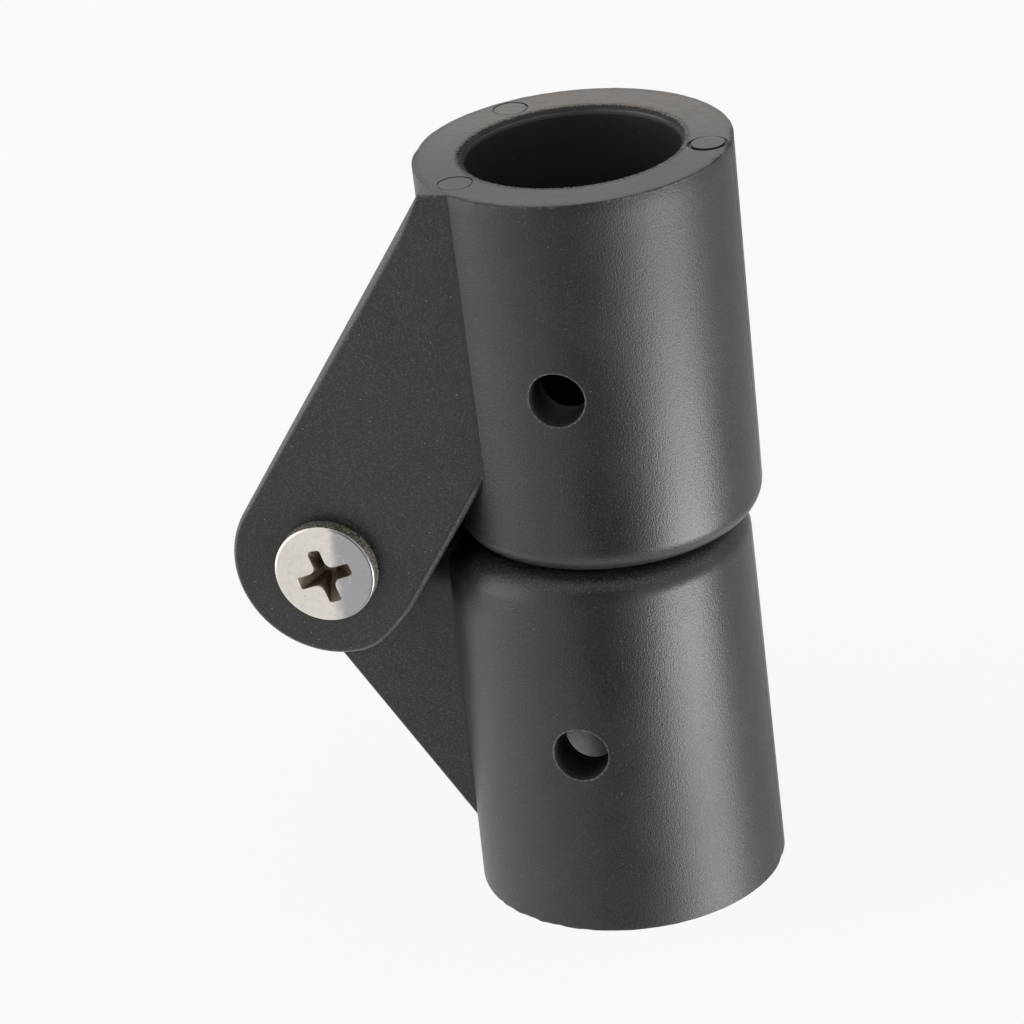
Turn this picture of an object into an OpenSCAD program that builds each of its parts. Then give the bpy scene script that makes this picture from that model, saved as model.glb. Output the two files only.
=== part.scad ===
// Folding joint for two round tubes. Two moulded nylon sockets stand end to end and
// fold side by side about one screw. The upper socket's web is a fork of two thick ears,
// the lower one's a tongue that turns between them. Each socket takes a tube in its mouth
// and is drilled across for a fixing screw or a rivet.
// Frame: the origin is the centre of the lower mouth, +Z runs up the lower tube's axis,
// -X points at the hinge and -Y at the side with the screw's head.

/* [Tube] */
// Outside diameter of the tube that each socket takes
tube_d = 20; // [18:0.5:25]
// How much wider the bore is than the tube, on the diameter
tube_play = 0.4; // [0.2:0.1:0.8]

/* [Socket] */
// Wall thickness at the mouth
wall = 4.8; // [4:0.1:7]
// Height of one socket, from its mouth to its closed end
socket_h = 37.6; // [34:0.2:60]
// Thickness of the closed end
end_wall = 4; // [3:0.5:6]
// How much the radius shrinks from the mouth to the closed end, so it leaves its mould
draft = 0.3; // [0:0.05:0.6]
// Rounding of the closed end's edge
end_round = 2.7; // [1:0.1:3.5]
// Lead-in chamfer at the mouth of the bore
lead_in = 0.4; // [0.2:0.1:1]

/* [Cross hole] */
// Diameter of the hole drilled across both walls
cross_d = 5.3; // [4:0.1:6.5]
// Distance of the cross hole from the mouth
cross_up = 19.25; // [12:0.25:24]

/* [Hinge] */
// Distance from the fork's tube axis to the pivot
fork_reach = 25; // [24:0.1:30]
// Distance from the tongue's tube axis to the pivot
tongue_reach = 23.5; // [22.5:0.1:28]
// Radius of the round end of the ears and of the tongue
ear_r = 9.5; // [8.5:0.1:10.5]
// Width over the two ears
ear_span = 24.2; // [20:0.2:27]
// Thickness of the tongue
tongue_t = 8.6; // [4:0.1:9]
// Gap on each side of the tongue
side_gap = 0.15; // [0.1:0.05:0.4]
// Gap between the two closed ends when the joint is straight
closing_gap = 0.3; // [0.2:0.05:0.6]
// Room left all round a web where the other socket swings past it
swing_gap = 0.4; // [0.35:0.05:0.8]
// How far the corner of the fork's web lies inside the mouth's rim, along X
fork_inset = 3.2; // [1:0.1:5]
// How far the corner of the tongue's web lies inside the mouth's rim, along X
tongue_inset = 4.8; // [1:0.1:6]
// How far the far ear's corner is cut back along the rim
far_back = 3; // [1:0.1:5]
// How far the same cut runs down the far ear's long flank
far_down = 16; // [8:0.5:20]
// Height above the closed end where the web's short flank meets the socket
shoulder_up = 8.75; // [6:0.25:14]
// How far the upper socket folds over, in degrees
fold_max = 180; // [90:5:180]

/* [Pivot screw] */
// Diameter of the screw's shank
screw_d = 5; // [4:0.5:6]
// How much wider the pivot holes are than the shank, on the diameter
screw_play = 0.1; // [0.04:0.02:0.2]
// How far the shank stands out past the far ear
screw_proud = 0.8; // [0.2:0.1:2]
// Diameter of the screw's head
head_d = 9.9; // [8:0.1:12]
// Height of the screw's head
head_h = 1.6; // [1.2:0.1:3]
// Tip to tip width of the cross recess
drive_span = 5; // [4:0.1:6]
// Width of each arm of the cross recess
drive_w = 1; // [0.8:0.1:1.4]
// Depth of the cross recess
drive_deep = 2.6; // [1.5:0.1:3.5]
// How far the cross recess is turned
drive_turn = 18; // [0:1:90]
// Small bevel round the head's rim
head_rim = 0.25; // [0.1:0.05:0.5]
// Length of the bevelled point at the screw's end
point_h = 0.5; // [0.3:0.1:0.8]

/* [Lock nut] */
// Width across the nut's flats
nut_af = 8; // [7:0.5:10]
// Height of the nut with its collar
nut_h = 5; // [4.5:0.1:6]
// Height of the collar that holds the locking ring
collar_h = 1.4; // [1:0.1:1.8]
// How much wider the hex pocket is than the nut
pocket_play = 0.2; // [0.1:0.05:0.4]
// How far the nut's end lies below the ear's face
nut_sunk = 0.5; // [0:0.1:1]
// How much smaller the collar's radius is than half the width across the flats
collar_step = 0.3; // [0.2:0.05:0.5]
// Radial thickness of the locking ring
ring_t = 0.7; // [0.5:0.05:1]
// Height of the locking ring
ring_h = 1.3; // [1:0.1:1.6]
// Gap round parts that are pressed or screwed together
snug = 0.02; // [0.01:0.01:0.04]

/* [Hidden] */
$fn = 96;

bore_r = (tube_d + tube_play) / 2;
mouth_r = bore_r + wall;
end_r = mouth_r - draft;
bore_deep = socket_h - end_wall;
axis_step = fork_reach - tongue_reach;
pivot_r = (screw_d + screw_play) / 2;
pivot_drop = closing_gap / 2;
ear_y = ear_span / 2;
slot_y = tongue_t / 2 + side_gap;
nut_seat_y = ear_y - nut_sunk - nut_h;
ring_out_r = screw_d / 2 + snug + ring_t;
collar_r = nut_af / 2 - collar_step;
past = 1;

// Radius of the socket's outside at a height above its closed end
function skin_r(up) = end_r + draft * up / socket_h;
// Unit vector at an angle
function unit(a) = [cos(a), sin(a)];
// Direction from a centre to where a line through a point touches its circle
function touch(c, p, r, side) =
    atan2(p[1] - c[1], p[0] - c[0]) + side * acos(r / norm(p - c));
// Corner of a web at the mouth's rim
function web_corner(inset) = [-(mouth_r - inset), socket_h];

// Sleeve of one socket, not yet bored: closed end at z = 0 and mouth at z = socket_h
module socket_blank() {
    rotate_extrude() {
        polygon([
            [0, 0],
            [end_r - end_round, 0],
            [end_r - end_round, end_round],
            [end_r, end_round],
            [mouth_r, socket_h],
            [0, socket_h]
        ]);
        translate([end_r - end_round, end_round]) circle(end_round);
    }
}

// What the tube and the lead-in chamfer take out of the mouth
module tube_bore() {
    translate([0, 0, end_wall]) cylinder(r = bore_r, h = bore_deep + past);
    translate([0, 0, socket_h - lead_in])
        cylinder(r1 = bore_r, r2 = bore_r + lead_in + past, h = lead_in + past);
}

// Hole across both walls for a screw or a rivet
module cross_hole() {
    translate([0, mouth_r + past, socket_h - cross_up])
        rotate([90, 0, 0])
        cylinder(d = cross_d, h = 2 * (mouth_r + past));
}

// A flat outline in X and Z, made solid between two values of Y
module plate(y0, y1) {
    translate([0, y1, 0]) rotate([90, 0, 0]) linear_extrude(y1 - y0) children();
}

// Side view of a web: a round end about the pivot and two straight flanks that touch it,
// the long one up to the mouth and the short one up to the shoulder on the socket
module web_outline(reach, inset, grow = 0) {
    centre = [-reach, -pivot_drop];
    corner = web_corner(inset);
    shoulder_r = skin_r(shoulder_up);
    shoulder = [-sqrt(shoulder_r * shoulder_r - ear_y * ear_y), shoulder_up];
    out = unit(touch(centre, corner, ear_r, 1));
    under = unit(touch(centre, shoulder, ear_r, -1));
    r = ear_r + grow;
    translate(centre) circle(r);
    polygon([
        centre,
        centre + r * out,
        corner + grow * out,
        [0, socket_h],
        [0, shoulder_up],
        shoulder + grow * under,
        centre + r * under
    ]);
}

// The web of the facing socket, seen in this socket's own frame
module facing_outline(reach, inset, step) {
    translate([step, -closing_gap]) mirror([0, 1]) web_outline(reach, inset, swing_gap);
}

// Room for the tongue's web in the fork, when the joint is straight and when it is folded
module tongue_room() {
    pivot = [-fork_reach, -pivot_drop];
    for (turn = [0, fold_max])
        translate(pivot) rotate(-turn) translate(-pivot)
            facing_outline(tongue_reach, tongue_inset, -axis_step);
}

// What the far ear's top corner loses, so that the mouth's rim hides it
module far_corner() {
    corner = web_corner(fork_inset);
    out = unit(touch([-fork_reach, -pivot_drop], corner, ear_r, 1));
    on_rim = corner + [far_back, 0];
    on_flank = corner + far_down * [-out[1], out[0]];
    way = (on_flank - on_rim) / norm(on_flank - on_rim);
    plate(slot_y, ear_y + past)
        polygon([
            on_rim,
            on_rim + [0, past],
            corner + past * out + [0, past],
            on_flank + past * (way + out),
            on_flank + past * way
        ]);
}

// Round hole for the pivot screw through a web
module pivot_hole(reach) {
    translate([-reach, mouth_r + past, -pivot_drop])
        rotate([90, 0, 0])
        cylinder(r = pivot_r, h = 2 * (mouth_r + past));
}

// Hexagon with its width across the flats, standing on z = 0
module hexagon(af, h) {
    cylinder(d = af / cos(30), h = h, $fn = 6);
}

// Puts a turned piece on the pivot axis: its z runs along +Y from the given Y
module on_pivot(y) {
    translate([-tongue_reach, y, socket_h + pivot_drop]) rotate([-90, 0, 0]) children();
}

// Lower socket with the tongue
module tongue_socket() {
    color([0.13, 0.13, 0.135])
    translate([0, 0, socket_h]) mirror([0, 0, 1])
    difference() {
        union() {
            socket_blank();
            plate(-tongue_t / 2, tongue_t / 2) web_outline(tongue_reach, tongue_inset);
        }
        tube_bore();
        cross_hole();
        pivot_hole(tongue_reach);
        // Shallow relief in the end's edge, where the two ears swing past
        plate(-ear_y - swing_gap, -tongue_t / 2)
            facing_outline(fork_reach, fork_inset, axis_step);
        plate(tongue_t / 2, ear_y + swing_gap)
            facing_outline(fork_reach, fork_inset, axis_step);
    }
}

// Upper socket with the fork of two ears
module fork_socket() {
    color([0.15, 0.15, 0.155])
    translate([axis_step, 0, socket_h + closing_gap])
    difference() {
        union() {
            socket_blank();
            difference() {
                plate(-ear_y, ear_y) web_outline(fork_reach, fork_inset);
                far_corner();
            }
        }
        tube_bore();
        cross_hole();
        pivot_hole(fork_reach);
        // Slot for the tongue: its bottom curves about the pivot, then runs straight out
        plate(-slot_y, slot_y) tongue_room();
        // Hex pocket that keeps the nut from turning
        translate([-fork_reach, nut_seat_y, -pivot_drop])
            rotate([-90, 0, 0])
            hexagon(nut_af + pocket_play, nut_h + nut_sunk + past);
    }
}

// Cross recess of the screw, on z = 0 and cut down along +Z with tapering arms
module cross_recess() {
    intersection() {
        translate([0, 0, -past]) linear_extrude(drive_deep + past) {
            square([drive_span, drive_w], center = true);
            square([drive_w, drive_span], center = true);
        }
        translate([0, 0, -past])
            cylinder(
                r1 = drive_span / 2 + past / 2,
                r2 = drive_w / 2,
                h = drive_deep + past
            );
    }
}

// Pivot screw with a low flat head and a cross recess
module pivot_screw() {
    straight_h = head_h + ear_span + screw_proud - point_h;
    color([0.74, 0.72, 0.69])
    on_pivot(-ear_y - head_h)
    difference() {
        union() {
            translate([0, 0, head_rim]) cylinder(d = head_d, h = head_h - head_rim);
            cylinder(d1 = head_d - 2 * head_rim, d2 = head_d, h = head_rim);
            cylinder(d = screw_d, h = straight_h);
            translate([0, 0, straight_h])
                cylinder(d1 = screw_d, d2 = screw_d - 2 * point_h, h = point_h);
        }
        rotate(drive_turn) cross_recess();
    }
}

// Lock nut in the far ear: a chamfered hexagon and the round collar of its ring
module lock_nut() {
    hex_h = nut_h - collar_h;
    corner_r = nut_af / 2 / cos(30);
    color([0.66, 0.66, 0.65])
    on_pivot(nut_seat_y)
    difference() {
        union() {
            intersection() {
                hexagon(nut_af, hex_h);
                rotate_extrude()
                    polygon([
                        [0, 0],
                        [nut_af / 2, 0],
                        [corner_r, corner_r - nut_af / 2],
                        [corner_r, hex_h - corner_r + nut_af / 2],
                        [nut_af / 2, hex_h],
                        [0, hex_h]
                    ]);
            }
            cylinder(r = collar_r, h = nut_h);
        }
        translate([0, 0, -past]) cylinder(r = screw_d / 2 + snug, h = nut_h + 2 * past);
        translate([0, 0, nut_h - ring_h]) cylinder(r = ring_out_r + snug, h = ring_h + past);
    }
}

// Nylon ring that grips the thread, set in the nut's collar
module lock_ring() {
    color([0.9, 0.9, 0.86])
    on_pivot(nut_seat_y + nut_h - ring_h)
    difference() {
        cylinder(r = ring_out_r, h = ring_h);
        translate([0, 0, -past]) cylinder(r = screw_d / 2 + snug, h = ring_h + 2 * past);
    }
}

tongue_socket();
fork_socket();
pivot_screw();
lock_nut();
lock_ring();
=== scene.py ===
"""Looks of a folding joint for two round tubes.

Two nylon mouldings, the pivot screw, its lock nut and the nut's ring are drawn around the
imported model. Sizes are in millimetres and become metres when a solid is made. The origin is
the centre of the lower mouth, +Z runs up the lower tube, -X points at the hinge and -Y at the
side with the screw's head.
"""

import logging
from collections.abc import Callable, Sequence
from dataclasses import dataclass, field
from enum import Enum
from math import acos, atan2, cos, hypot, pi, radians, sin, sqrt

import bpy
import numpy as np
from mathutils import Matrix, Vector


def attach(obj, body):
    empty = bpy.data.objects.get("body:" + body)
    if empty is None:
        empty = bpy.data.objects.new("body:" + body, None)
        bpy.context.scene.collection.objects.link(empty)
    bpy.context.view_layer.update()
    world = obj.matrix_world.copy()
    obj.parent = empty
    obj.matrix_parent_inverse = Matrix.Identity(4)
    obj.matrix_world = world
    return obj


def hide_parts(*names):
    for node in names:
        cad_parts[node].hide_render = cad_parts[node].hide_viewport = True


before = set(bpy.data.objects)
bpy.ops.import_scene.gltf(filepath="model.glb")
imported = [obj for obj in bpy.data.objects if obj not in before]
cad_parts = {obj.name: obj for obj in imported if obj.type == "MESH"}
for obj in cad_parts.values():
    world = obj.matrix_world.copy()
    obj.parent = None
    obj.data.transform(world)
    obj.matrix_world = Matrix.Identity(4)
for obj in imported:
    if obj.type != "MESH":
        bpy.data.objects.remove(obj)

LOG = logging.getLogger("tube_joint")
MM = 0.001
SHADE = "shade"
SHARP_TURN = cos(radians(35))

CROSS_R = 2.65
CROSS_UP = 19.25

Triple = tuple[float, float, float]
Colour = Triple
Place = Callable[[np.ndarray], np.ndarray]


class Cut(Enum):
    """How a tool changes the solid that it meets."""

    ADD = "UNION"
    TAKE = "DIFFERENCE"
    KEEP = "INTERSECT"


# Meshes


def unit_rows(rows: np.ndarray) -> np.ndarray:
    """Vectors of length one, along the last axis."""
    return rows / np.maximum(np.linalg.norm(rows, axis=-1, keepdims=True), 1e-12)


def turns(count: int) -> np.ndarray:
    """Evenly spaced angles round a full turn, in radians."""
    return np.arange(count) * (2 * pi / count)


def waves(angles: np.ndarray, seed: int, lowest: int, highest: int) -> np.ndarray:
    """An uneven line round a full turn, between about -1 and 1.

    Args:
        angles: the places round the turn, in radians.
        seed: picks one line of many.
        lowest: the fewest waves round the turn.
        highest: the most waves round the turn.

    Returns:
        The height of the line at each angle.
    """
    draw, many = np.random.default_rng(seed), 24
    counts = draw.integers(lowest, highest + 1, many)
    shifts = draw.uniform(0, 2 * pi, many)
    line = np.sin(counts[:, None] * angles[None] + shifts[:, None]).sum(0)
    return line / np.abs(line).max()


def hump(angles: np.ndarray, middle: float, half_width: float) -> np.ndarray:
    """One smooth hump round a turn, 1 at its middle and 0 past its half width, in degrees."""
    away = np.abs((np.degrees(angles) - middle + 180) % 360 - 180)
    return np.clip(1 - away / half_width, 0, 1) ** 2


def circle(
    angles: np.ndarray, radius: np.ndarray | float, centre: Sequence[float] = (0.0, 0.0)
) -> np.ndarray:
    """Points round a centre in a plane, one for each angle."""
    across, up = centre[0] + radius * np.cos(angles), centre[1] + radius * np.sin(angles)
    return np.stack([across, up], 1)


def at_level(outline: np.ndarray, up: np.ndarray | float) -> np.ndarray:
    """A flat outline's points at a height."""
    return np.column_stack([outline, np.zeros(len(outline)) + up])


def swung(points: np.ndarray, angle: float) -> np.ndarray:
    """Points of a plane, turned about the origin by an angle in degrees."""
    c, s = cos(radians(angle)), sin(radians(angle))
    return points @ np.array([[c, s], [-s, c]])


def linked(name: str, data: bpy.types.ID) -> bpy.types.Object:
    """A new object that holds this data, linked to the scene."""
    made = bpy.data.objects.new(name, data)
    bpy.context.scene.collection.objects.link(made)
    return made


@dataclass
class Stack:
    """A solid drawn as a stack of closed loops, with a flat face at each end.

    Attributes:
        loops: one array of points per loop, in millimetres, all of one length. The points
            run counter-clockwise as seen from the last loop's side.
        soft: whether the shading runs smoothly over each loop. At the first and last one it
            says whether the side leaves the flat face smoothly.
    """

    loops: list[np.ndarray] = field(default_factory=list)
    soft: list[bool] = field(default_factory=list)

    def add(self, loop: np.ndarray, soft: bool = False) -> None:
        """Puts one more loop on the stack."""
        self.loops.append(np.asarray(loop, float))
        self.soft.append(soft)

    def _side_normals(self, points: np.ndarray) -> np.ndarray:
        """Shading normals at the four corners of every face of the side."""
        along = unit_rows(np.roll(points, -1, axis=1) - points)
        before = np.roll(along, 1, axis=1)
        smooth = ((along * before).sum(-1) > SHARP_TURN)[..., None]
        mean = unit_rows(along + before)
        start = np.where(smooth, mean, along)
        end = np.where(np.roll(smooth, -1, axis=1), np.roll(mean, -1, axis=1), along)
        rise = unit_rows(points[1:] - points[:-1])
        low, high = rise.copy(), rise.copy()
        for k in range(1, len(points) - 1):
            if self.soft[k]:
                low[k] = high[k - 1] = unit_rows(rise[k - 1] + rise[k])
        after = np.roll(np.arange(points.shape[1]), -1)
        corners = [
            np.cross(start[:-1], low),
            np.cross(end[:-1], low[:, after]),
            np.cross(end[1:], high[:, after]),
            np.cross(start[1:], high),
        ]
        return unit_rows(np.stack(corners, axis=2))

    @staticmethod
    def _facing(loop: np.ndarray) -> np.ndarray:
        """Direction that a flat loop faces when its points run counter-clockwise."""
        return unit_rows(np.cross(loop, np.roll(loop, -1, axis=0)).sum(0))

    def solid(self, name: str) -> bpy.types.Object:
        """Makes the stack a mesh object, with its shading normals kept on the corners.

        Args:
            name: the object's name.

        Returns:
            The object, in metres, linked to the scene.
        """
        points = np.stack(self.loops)
        count, size = points.shape[:2]
        first, last = -self._facing(points[0]), self._facing(points[-1])
        side = self._side_normals(points)
        if self.soft[0]:
            side[0, :, :2] = first
        if self.soft[-1]:
            side[-1, :, 2:] = last
        here = np.arange(size)
        after = np.roll(here, -1)
        rows = []
        for low in range(0, (count - 1) * size, size):
            high = low + size
            rows.append(np.stack([low + here, low + after, high + after, high + here], 1))
        faces = np.concatenate(rows).tolist()
        faces += [here[::-1].tolist(), ((count - 1) * size + here).tolist()]
        mesh = bpy.data.meshes.new(name)
        mesh.from_pydata((points.reshape(-1, 3) * MM).tolist(), [], faces)
        ends = [np.tile(first, (size, 1)), np.tile(last, (size, 1))]
        shade = np.concatenate([side.reshape(-1, 3), *ends])
        kept = mesh.attributes.new(SHADE, "FLOAT_VECTOR", "CORNER")
        kept.data.foreach_set("vector", shade.astype(np.float32).ravel())
        mesh.update()
        return linked(name, mesh)

    def placed(self, place: Place, mirrored: bool = False) -> "Stack":
        """The same stack moved by a function, with its loops reversed if it is mirrored."""
        order = -1 if mirrored else 1
        return Stack([place(loop)[::order] for loop in self.loops], list(self.soft))


def turned(profile: Sequence[tuple], count: int) -> Stack:
    """A solid of revolution about the Z axis.

    Args:
        profile: radius, height and softness of each loop from the bottom up. A radius or a
            height may be an array with one value for each point of the loop.
        count: how many points each loop has.

    Returns:
        The stack of loops.
    """
    angles = turns(count)
    made = Stack()
    for radius, height, soft in profile:
        made.add(at_level(circle(angles, radius), height), soft)
    return made


def rounding(
    radius: float, height: float, size: float, start: float, end: float, steps: int
) -> list[tuple]:
    """Part of a profile that runs round a quarter circle.

    Args:
        radius: distance of the circle's centre from the axis.
        height: height of the circle's centre.
        size: radius of the circle.
        start: first angle in degrees, where 0 points away from the axis and 90 up.
        end: last angle.
        steps: number of points after the first.

    Returns:
        Radius, height and softness of each point.
    """
    spread = np.linspace(radians(start), radians(end), steps + 1)
    return [(radius + size * cos(a), height + size * sin(a), True) for a in spread]


def offset_inward(outline: np.ndarray, amounts: np.ndarray) -> np.ndarray:
    """Moves each point of a counter-clockwise outline inward by its own amount."""
    along = unit_rows(np.roll(outline, -1, axis=0) - outline)
    mean = unit_rows(along + np.roll(along, 1, axis=0))
    half_turn = np.clip((mean * along).sum(1), 0.5, 1)
    outward = np.stack([mean[:, 1], -mean[:, 0]], 1) / half_turn[:, None]
    return outline - outward * amounts[:, None]


def in_plane(outline: np.ndarray, y: float) -> np.ndarray:
    """Points of an outline in X and Z, set at one value of Y."""
    return np.stack([outline[:, 0], np.full(len(outline), y), outline[:, 1]], 1)


def slab(
    outline: np.ndarray,
    y0: float,
    y1: float,
    front: np.ndarray | None = None,
    back: np.ndarray | None = None,
) -> Stack:
    """A flat plate between two values of Y with rounded edges.

    Args:
        outline: points in X and Z, counter-clockwise as seen from the front.
        y0: the front face.
        y1: the back face.
        front: radius of the front edge at each point, or None for a sharp edge.
        back: radius of the back edge at each point, or None for a sharp edge.

    Returns:
        The stack of loops, from the back face to the front one.
    """
    steps = 5
    made = Stack()
    for radii, face, inward in ((back, y1, -1), (front, y0, 1)):
        if radii is None:
            made.add(in_plane(outline, face))
            continue
        loops = []
        for a in np.linspace(0, pi / 2, steps + 1):
            loop = in_plane(offset_inward(outline, radii * (1 - sin(a))), 0)
            loop[:, 1] = face + inward * radii * (1 - cos(a))
            loops.append(loop)
        for loop in loops[::-inward]:
            made.add(loop, True)
    return made


def shape(body: bpy.types.Object, tool: bpy.types.Object, how: Cut) -> None:
    """Adds a tool to a body or takes it away, and removes the tool.

    Args:
        body: the object that changes.
        tool: the object that shapes it.
        how: what is done with the tool.
    """
    if how is Cut.TAKE:
        flip_shading(tool)
    step = body.modifiers.new("step", "BOOLEAN")
    step.operation = how.value
    step.object = tool
    step.solver = "EXACT"
    graph = bpy.context.evaluated_depsgraph_get()
    made = bpy.data.meshes.new_from_object(
        body.evaluated_get(graph), preserve_all_data_layers=True, depsgraph=graph
    )
    body.modifiers.clear()
    old, body.data = body.data, made
    made.name = body.name
    bpy.data.meshes.remove(old)
    spent = tool.data
    bpy.data.objects.remove(tool)
    bpy.data.meshes.remove(spent)


def kept_normals(thing: bpy.types.Object) -> np.ndarray:
    """The shading normals that a solid's corners keep, one after another."""
    kept = thing.data.attributes[SHADE].data
    values = np.zeros(len(kept) * 3, np.float32)
    kept.foreach_get("vector", values)
    return values


def flip_shading(thing: bpy.types.Object) -> None:
    """Turns the kept shading normals of a solid that will be a hole."""
    thing.data.attributes[SHADE].data.foreach_set("vector", -kept_normals(thing))


def settle_shading(thing: bpy.types.Object) -> None:
    """Gives a finished solid the shading normals that its corners kept."""
    mesh = thing.data
    normals = kept_normals(thing).reshape(-1, 3)
    flat = np.zeros(len(mesh.polygons) * 3, np.float32)
    mesh.polygons.foreach_get("normal", flat)
    sizes = np.zeros(len(mesh.polygons), np.int32)
    mesh.polygons.foreach_get("loop_total", sizes)
    facing = np.repeat(flat.reshape(-1, 3), sizes, axis=0)
    lengths = np.linalg.norm(normals, axis=1)
    least_agreement, least_length = 0.4, 0.5
    agree = (normals * facing).sum(1) > least_agreement * np.maximum(lengths, 1e-6)
    usable = agree & (lengths > least_length)
    normals = np.where(usable[:, None], unit_rows(normals), facing)
    mesh.attributes.remove(mesh.attributes[SHADE])
    mesh.polygons.foreach_set("use_smooth", np.ones(len(mesh.polygons), bool))
    mesh.normals_split_custom_set(normals.tolist())
    mesh.update()


# Materials


@dataclass(frozen=True)
class Value:
    """One number or colour that varies over a surface. Arithmetic on it adds Math nodes."""

    graph: "Graph"
    socket: bpy.types.NodeSocket

    def _math(self, operation: str, first: "Value | float", second: "Value | float") -> "Value":
        """A Math node on two values, one of which may be a plain number."""
        return self.graph.node("ShaderNodeMath", {"operation": operation}, {0: first, 1: second})

    def __add__(self, other: "Value | float") -> "Value":
        """The sum."""
        return self._math("ADD", self, other)

    def __radd__(self, other: float) -> "Value":
        """The sum, with the number first."""
        return self._math("ADD", other, self)

    def __sub__(self, other: "Value | float") -> "Value":
        """The difference."""
        return self._math("SUBTRACT", self, other)

    def __rsub__(self, other: float) -> "Value":
        """The difference from a number."""
        return self._math("SUBTRACT", other, self)

    def __mul__(self, other: "Value | float") -> "Value":
        """The product."""
        return self._math("MULTIPLY", self, other)

    def __rmul__(self, other: float) -> "Value":
        """The product, with the number first."""
        return self._math("MULTIPLY", other, self)

    def __pow__(self, other: float) -> "Value":
        """The power."""
        return self._math("POWER", self, other)

    def __gt__(self, other: "Value | float") -> "Value":
        """1 where this is greater, and 0 elsewhere."""
        return self._math("GREATER_THAN", self, other)

    def size(self) -> "Value":
        """The value without its sign."""
        return self._math("ABSOLUTE", self, 0.0)

    def between(self, low: float, high: float) -> "Value":
        """Rises smoothly from 0 at the first number to 1 at the second."""
        settings = {"interpolation_type": "SMOOTHSTEP"}
        sockets = {"Value": self, "From Min": low, "From Max": high}
        return self.graph.node("ShaderNodeMapRange", settings, sockets)

    def until(self, low: float, high: float) -> "Value":
        """Falls smoothly from 1 at the first number to 0 at the second."""
        return 1 - self.between(low, high)

    def near(self, middle: float, full: float, none: float) -> "Value":
        """1 within the first distance of a number, falling to 0 at the second."""
        return (self - middle).size().until(full, none)


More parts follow.
